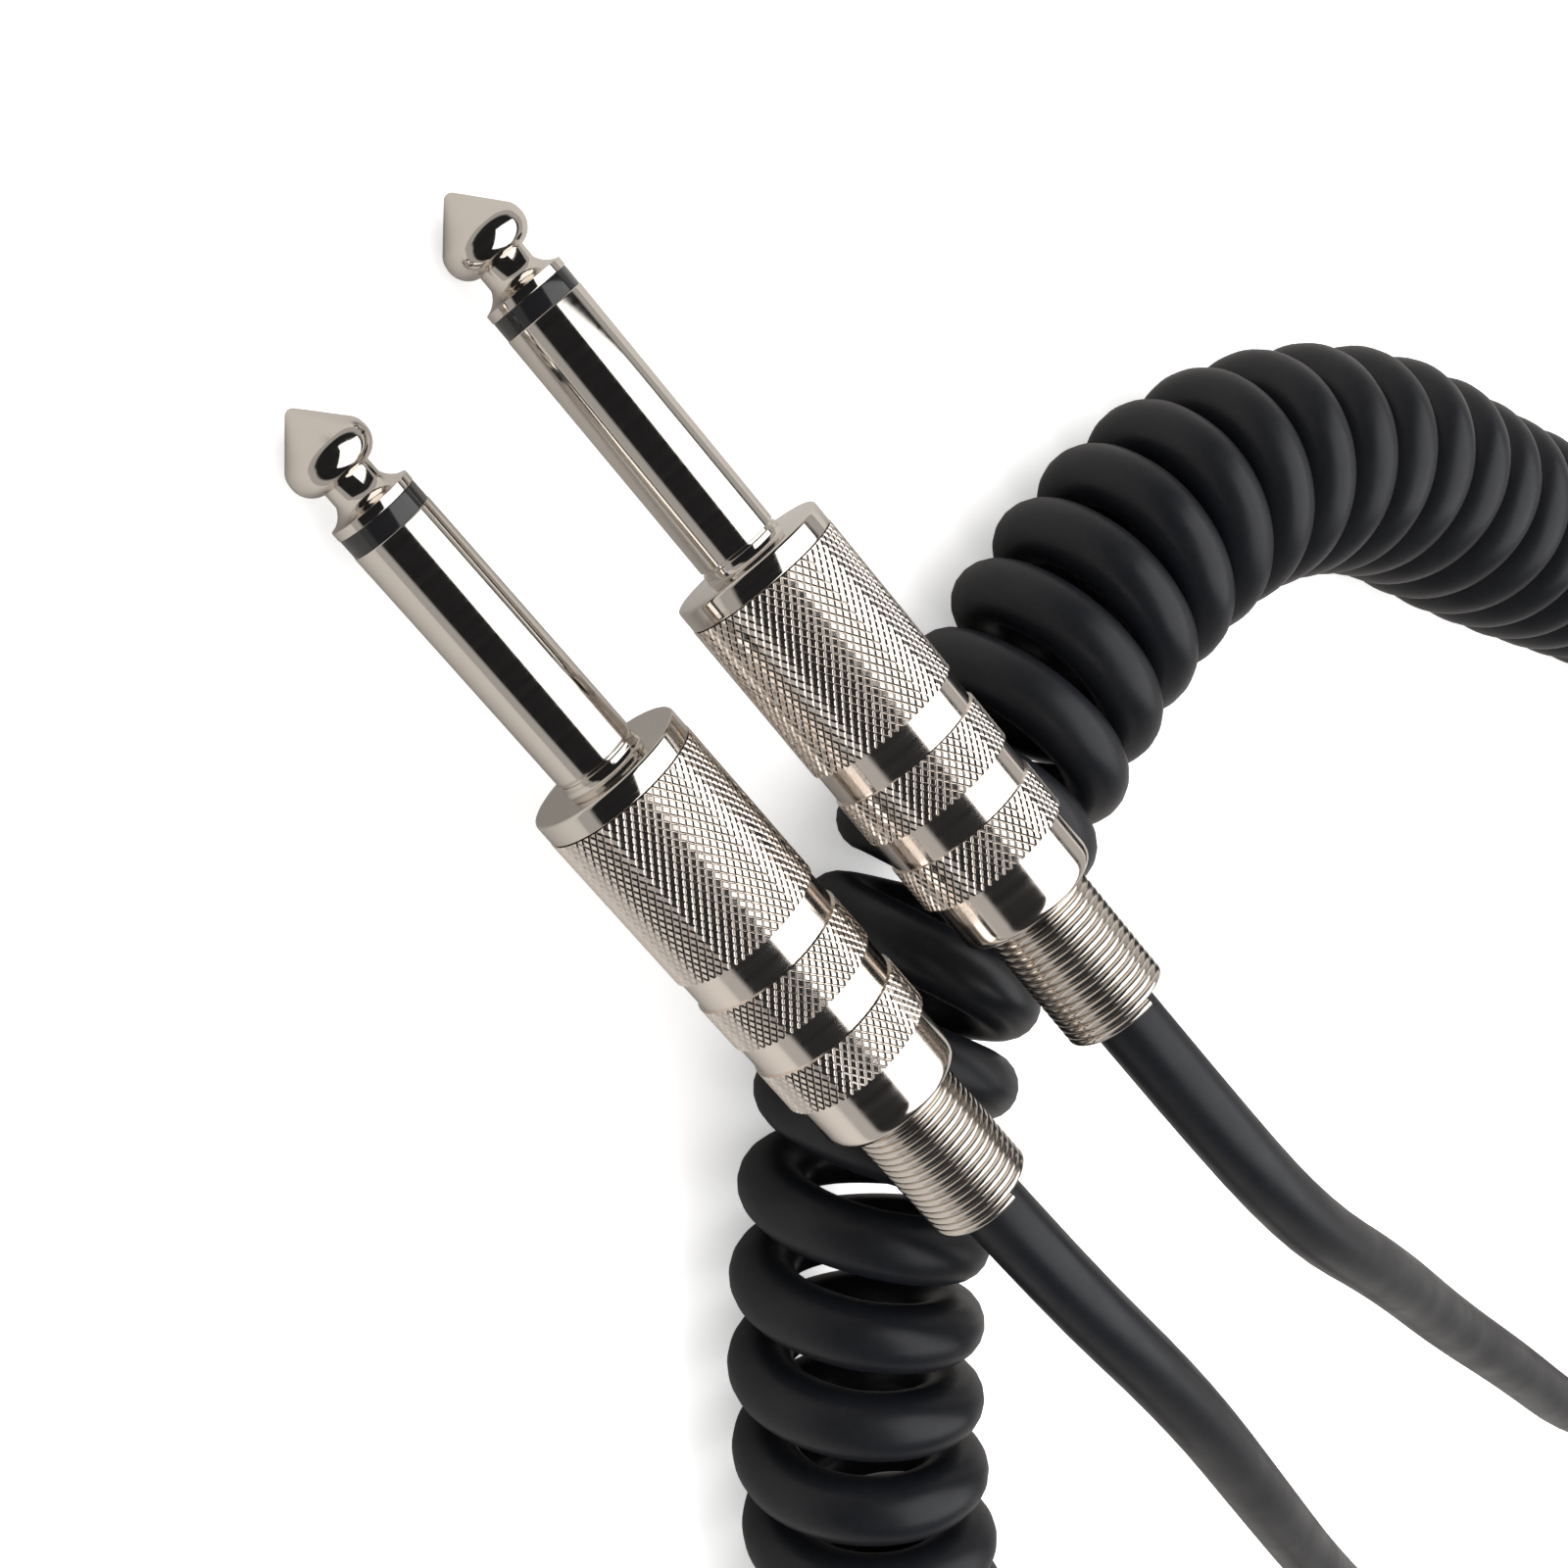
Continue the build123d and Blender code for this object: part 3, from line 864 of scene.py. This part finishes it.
    def spring(self) -> bpy.types.Object:
        """Close-wound strain relief spring, with wider turns inside the barrel.

        Returns:
            The spring, on its body.
        """
        rear = self.spring_end - self.spring_wire_radius
        pitch = (rear - self.floor_station) / self.spring_turns
        body = {
            "Sides": 14, "Turns": float(self.spring_turns), "Pitch": pitch,
            "Start Radius": self.spring_radius, "End Radius": self.spring_radius,
            "Wire Radius": self.spring_wire_radius, "Start Angle": 0.0, "First Station": self.floor_station,
            "Finish": NICKEL_WIRE.made(),
        }
        shoulder = {
            **body, "Turns": self.spring_shoulder_turns, "Pitch": self.spring_shoulder_pitch,
            "Start Radius": self.spring_shoulder_radius,
            "End Radius": self.spring_shoulder_radius - self.spring_shoulder_taper,
            "First Station": self.floor_station - self.spring_shoulder_setback,
        }
        skin = Skin()
        for sizes in (body, shoulder):
            skin.take(grown(bpy.data.meshes.new("seed"), wire_tree(), sizes))
        made = skin.piece(self.named("relief_spring"), self.place, NICKEL_WIRE, 60.0)
        return self.standing_for(made, "strain_relief", f"screw_barrel_{self.letter}")

    def inner_pieces(self) -> None:
        """Give the pieces inside the barrel their finishes."""
        for piece, finish in INNER_FINISHES.items():
            node = frame["nodes"][self.named(piece)]
            node.data.materials.clear()
            node.data.materials.append(finish.made())
            log.info("%s gets %s", node.name, finish.name)

    def build(self) -> None:
        """Build and dress the whole plug."""
        for make in (self.tip, self.insulator, self.sleeve, self.thread, self.barrel, self.spring):
            log.info("built %s", make().name)
        self.inner_pieces()


# ------------------------------------------------------------------------------------------ cord


COIL_ROUTE = [
    (0.0945, 0.0790), (0.0870, 0.0560), (0.0670, 0.0420), (0.0450, 0.0310), (0.0215, 0.0275),
    (-0.0065, 0.0330), (-0.0290, 0.0475), (-0.0385, 0.0700), (-0.0370, 0.0935), (-0.0380, 0.1220),
    (-0.0370, 0.1500), (-0.0350, 0.1775),
]
ROUTE_STEPS = 24
TAIL_ROUTES = {
    "a": [
        (0.0430, 0.0510, 0.0285), (0.0530, 0.0715, 0.0240), (0.0625, 0.0930, 0.0175), (0.0705, 0.1135, 0.0110),
        (0.0795, 0.1345, 0.0055), (0.0970, 0.1490, None), (0.1200, 0.1495, None), (0.1380, 0.1340, None),
        (0.1430, 0.1110, None), (0.1330, 0.0890, None), (0.1140, 0.0790, None), (0.0930, 0.0780, None),
    ],
    "b": [
        (0.0270, 0.0530, 0.0345), (0.0315, 0.0735, 0.0300), (0.0375, 0.0960, 0.0240), (0.0435, 0.1205, 0.0185),
        (0.0505, 0.1460, 0.0130), (0.0530, 0.1680, 0.0075), (0.0420, 0.1880, 0.0035), (0.0200, 0.1960, None),
        (-0.0040, 0.1910, None), (-0.0220, 0.1830, None), (-0.0390, 0.1765, None),
    ],
}


def route_line(points: Sequence[Vector]) -> list[Vector]:
    """Points along the smooth line of a route.

    Args:
        points: The route's control points, in metres.

    Returns:
        The line of their NURBS spline.
    """
    curve = cord_curve("route", points, ROUTE_STEPS)
    holder = bpy.data.objects.new("route", curve)
    bpy.context.scene.collection.objects.link(holder)
    depsgraph = bpy.context.evaluated_depsgraph_get()
    mesh = bpy.data.meshes.new_from_object(holder.evaluated_get(depsgraph), depsgraph=depsgraph)
    line = [vertex.co.copy() for vertex in mesh.vertices]
    bpy.data.objects.remove(holder)
    bpy.data.curves.remove(curve)
    bpy.data.meshes.remove(mesh)
    return line


def cord_curve(name: str, points: Sequence[Vector], resolution: int) -> bpy.types.Curve:
    """Curve of one smooth open NURBS spline.

    Args:
        name: The curve's name.
        points: Its control points, in metres.
        resolution: Steps from one control point to the next.

    Returns:
        The curve, with no thickness.
    """
    curve = bpy.data.curves.new(name, "CURVE")
    curve.dimensions = "3D"
    spline = curve.splines.new("NURBS")
    spline.points.add(len(points) - 1)
    for knot, point in zip(spline.points, points):
        knot.co = (*point, 1.0)
    spline.order_u = 3
    spline.use_endpoint_u = True
    spline.resolution_u = resolution
    return curve


@dataclass
class CurlyCord:
    """The one cord between the two plugs: plain stretches at both ends and a curly one between them."""

    plugs: dict[str, JackPlug]
    radius: float = 0.00265
    coil_radius: float = 0.0102
    points_per_turn: int = 14
    pitches: tuple[Flat, ...] = (
        (0.000, 0.00560), (0.045, 0.00570), (0.060, 0.00690), (0.110, 0.00690), (0.135, 0.00600),
        (0.165, 0.00590), (0.200, 0.00560), (0.290, 0.00550),
    )
    turns: int = 47
    steps_per_point: int = 5
    roundness: int = 8

    def pitch_at(self, distance: float) -> float:
        """Distance from one turn to the next at a place along the coil.

        Args:
            distance: Distance from the coil's start, in metres.

        Returns:
            The pitch there, in metres.
        """
        for (before, low), (after, high) in zip(self.pitches[:-1], self.pitches[1:]):
            if distance <= after:
                return low + (high - low) * (distance - before) / (after - before)
        return self.pitches[-1][1]

    def coil(self) -> list[Vector]:
        """Points of the helix that the cord follows, read off the coil's own smooth line.

        Returns:
            The helix's control points, in metres.
        """
        line = route_line([Vector((x, y, self.coil_radius)) for x, y in COIL_ROUTE])
        winding_radius = self.coil_radius - self.radius
        control_radius = winding_radius / math.cos(math.pi / self.points_per_turn)
        travelled, phases = [0.0], [0.0]
        for before, after in zip(line[:-1], line[1:]):
            step = (after - before).length
            travelled.append(travelled[-1] + step)
            phases.append(phases[-1] + step / self.pitch_at(travelled[-1] - step / 2))
        stretch = self.turns / phases[-1]
        points, span = [], 0
        for count in range(self.turns * self.points_per_turn + 1):
            phase = count / self.points_per_turn
            while span < len(phases) - 2 and phases[span + 1] * stretch < phase:
                span += 1
            share = (phase / stretch - phases[span]) / (phases[span + 1] - phases[span])
            along = (line[span + 1] - line[span]).normalized()
            sideways = along.cross(Vector((0, 0, 1)))
            angle = math.tau * phase
            offset = sideways * math.sin(angle) - Vector((0, 0, math.cos(angle)))
            points.append(line[span].lerp(line[span + 1], share) + offset * control_radius)
        return points

    def tail(self, letter: str) -> list[Vector]:
        """Control points of a plain stretch, from inside the plug's spring.

        Args:
            letter: Letter of the stretch's plug.

        Returns:
            The control points, in metres.
        """
        plug = self.plugs[letter]
        points = [
            plug.point(plug.spring_end - plug.tail_start_in_spring),
            plug.point(plug.spring_end + plug.tail_straight),
        ]
        for x, y, z in TAIL_ROUTES[letter]:
            points.append(Vector((x, y, self.radius if z is None else z)))
        return points

    def lead(self, end: Vector, inner: Vector) -> Vector:
        """Point just outside the coil, in line with its first or last run.

        Args:
            end: The coil's first or last point.
            inner: The point next to it in the coil.

        Returns:
            The point outside.
        """
        run = end - inner
        run.z = 0.0
        return end + run

    def build(self) -> bpy.types.Object:
        """Returns:
            The cord's curve object.
        """
        coil = self.coil()
        for point in (coil[0], coil[-1]):
            point.z = self.radius
        points = [
            *self.tail("a"), self.lead(coil[0], coil[1]), *coil, self.lead(coil[-1], coil[-2]),
            *reversed(self.tail("b")),
        ]
        curve = cord_curve("cord", points, self.steps_per_point)
        curve.bevel_depth = self.radius
        curve.bevel_resolution = self.roundness
        curve.use_fill_caps = True
        curve.materials.append(BLACK_JACKET.made())
        cord = bpy.data.objects.new("cord", curve)
        bpy.context.scene.collection.objects.link(cord)
        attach(cord, "root")
        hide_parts("tail_a", "tail_b", "curly_cord")
        self.plugs["a"].point(self.plugs["a"].spring_end)
        return cord


# ------------------------------------------------------------------------------------------ studio


@dataclass
class Studio:
    """Plain pale floor, soft light and the camera."""

    floor_size: float = 6.0
    camera_place: Spot = (0.00235, -0.11948, 0.14526)
    camera_tilt: float = 43.91
    camera_roll: float = 102.76
    lens: float = 58.5
    paper_colour: tuple[float, float, float, float] = (0.95, 0.945, 0.94, 1)
    # Floor colour for every ray but camera rays: painted darker, so the metal shows a painted reflection of a
    # dim floor and the floor bounces less light.
    paper_painted_dark_for_reflections: tuple[float, float, float, float] = (0.40, 0.38, 0.36, 1)
    room_in_metal: tuple[float, float, float, float] = (0.42, 0.405, 0.39, 1)
    paper_glow: float = 0.42
    ceiling_in_metal: tuple[float, float, float, float] = (0.012, 0.012, 0.013, 1)
    horizon: Flat = (0.28, 0.38)
    room_strength: float = 1.15
    softbox_place: Spot = (-0.16, 0.336, 0.708)
    softbox_size: Flat = (1.25, 1.10)
    softbox_power: float = 7.5

    def camera(self) -> None:
        """Camera over the table, tilted down along +Y and turned on its side."""
        data = bpy.data.cameras.new("camera")
        data.lens = self.lens
        data.clip_start = 0.005
        camera = bpy.data.objects.new("camera", data)
        tilt = Matrix.Rotation(math.radians(self.camera_tilt), 4, "X")
        roll = Matrix.Rotation(math.radians(self.camera_roll), 4, "Z")
        camera.matrix_world = Matrix.Translation(self.camera_place) @ tilt @ roll
        bpy.context.scene.collection.objects.link(camera)
        bpy.context.scene.camera = camera

    def floor(self) -> None:
        """Plain pale floor that the cable lies on."""
        half = self.floor_size / 2
        mesh = bpy.data.meshes.new("floor")
        corners = [(-half, -half, 0), (half, -half, 0), (half, half, 0), (-half, half, 0)]
        mesh.from_pydata(corners, [], [(0, 1, 2, 3)])
        mesh.materials.append(self.paper())
        floor = bpy.data.objects.new("floor", mesh)
        bpy.context.scene.collection.objects.link(floor)

    def paper(self) -> bpy.types.Material:
        """Plain pale paper as the camera sees it; every other ray, reflections in the polished metal among
        them, sees it painted a darker warm grey, a painted reflection, and camera rays also see it glow
        evenly.

        Returns:
            The floor's material.
        """
        material = bpy.data.materials.new("floor_paper")
        material.use_nodes = True
        nodes, links = material.node_tree.nodes, material.node_tree.links
        ray, tint = nodes.new("ShaderNodeLightPath"), nodes.new("ShaderNodeMix")
        tint.data_type = "RGBA"
        # Painted reflection: rays that are not camera rays see the floor in the darker colour.
        tint.inputs["A"].default_value = self.paper_painted_dark_for_reflections
        tint.inputs["B"].default_value = self.paper_colour
        links.new(ray.outputs["Is Camera Ray"], tint.inputs["Factor"])
        surface = nodes["Principled BSDF"]
        links.new(tint.outputs["Result"], surface.inputs["Base Color"])
        surface.inputs["Emission Color"].default_value = self.paper_colour
        glow = nodes.new("ShaderNodeMath")
        glow.operation = "MULTIPLY"
        glow.inputs[1].default_value = self.paper_glow
        links.new(ray.outputs["Is Camera Ray"], glow.inputs[0])
        links.new(glow.outputs[0], surface.inputs["Emission Strength"])
        surface.inputs["Roughness"].default_value = 1.0
        surface.inputs["Specular IOR Level"].default_value = 0.0
        return material

    def softbox(self) -> None:
        """Big soft box above and behind the cable, which looks at the origin."""
        data = bpy.data.lights.new("key_softbox", "AREA")
        data.shape = "RECTANGLE"
        data.size, data.size_y = self.softbox_size
        data.energy = self.softbox_power
        place = Vector(self.softbox_place)
        lamp = bpy.data.objects.new("key_softbox", data)
        lamp.matrix_world = Matrix.Translation(place) @ (-place).to_track_quat("-Z", "Y").to_matrix().to_4x4()
        bpy.context.scene.collection.objects.link(lamp)

    def surroundings(self) -> None:
        """White room for soft light; polished metal shows its pale walls low down, under a dark ceiling."""
        world = bpy.data.worlds.new("room")
        bpy.context.scene.world = world
        world.use_nodes = True
        nodes, links = world.node_tree.nodes, world.node_tree.links
        where, axes, rise = (nodes.new(kind) for kind in (
            "ShaderNodeTexCoord", "ShaderNodeSeparateXYZ", "ShaderNodeMapRange"
        ))
        walls, ray, mixed, soft = (nodes.new(kind) for kind in (
            "ShaderNodeMix", "ShaderNodeLightPath", "ShaderNodeMixShader", "ShaderNodeBackground"
        ))
        shown = nodes["Background"]
        walls.data_type = "RGBA"
        walls.inputs["A"].default_value = self.room_in_metal
        walls.inputs["B"].default_value = self.ceiling_in_metal
        rise.inputs["From Min"].default_value, rise.inputs["From Max"].default_value = self.horizon
        soft.inputs["Color"].default_value = (1.0, 1.0, 1.0, 1)
        soft.inputs["Strength"].default_value = self.room_strength
        links.new(where.outputs["Generated"], axes.inputs[0])
        links.new(axes.outputs["Z"], rise.inputs["Value"])
        links.new(rise.outputs["Result"], walls.inputs["Factor"])
        links.new(walls.outputs["Result"], shown.inputs["Color"])
        links.new(ray.outputs["Is Glossy Ray"], mixed.inputs[0])
        links.new(soft.outputs[0], mixed.inputs[1])
        links.new(shown.outputs[0], mixed.inputs[2])
        links.new(mixed.outputs[0], nodes["World Output"].inputs["Surface"])

    def build(self) -> None:
        """Set up the camera, the floor and the light."""
        self.camera()
        self.floor()
        self.surroundings()
        self.softbox()
        bpy.context.scene.view_settings.view_transform = "Standard"


def main() -> None:
    """Build the scene: studio, cord and the two plugs."""
    logging.basicConfig(level=logging.INFO, format="%(name)s: %(message)s")
    Studio().build()
    plugs = {letter: JackPlug(letter) for letter in "ab"}
    CurlyCord(plugs).build()
    for plug in plugs.values():
        plug.build()


if __name__ == "__main__":
    main()
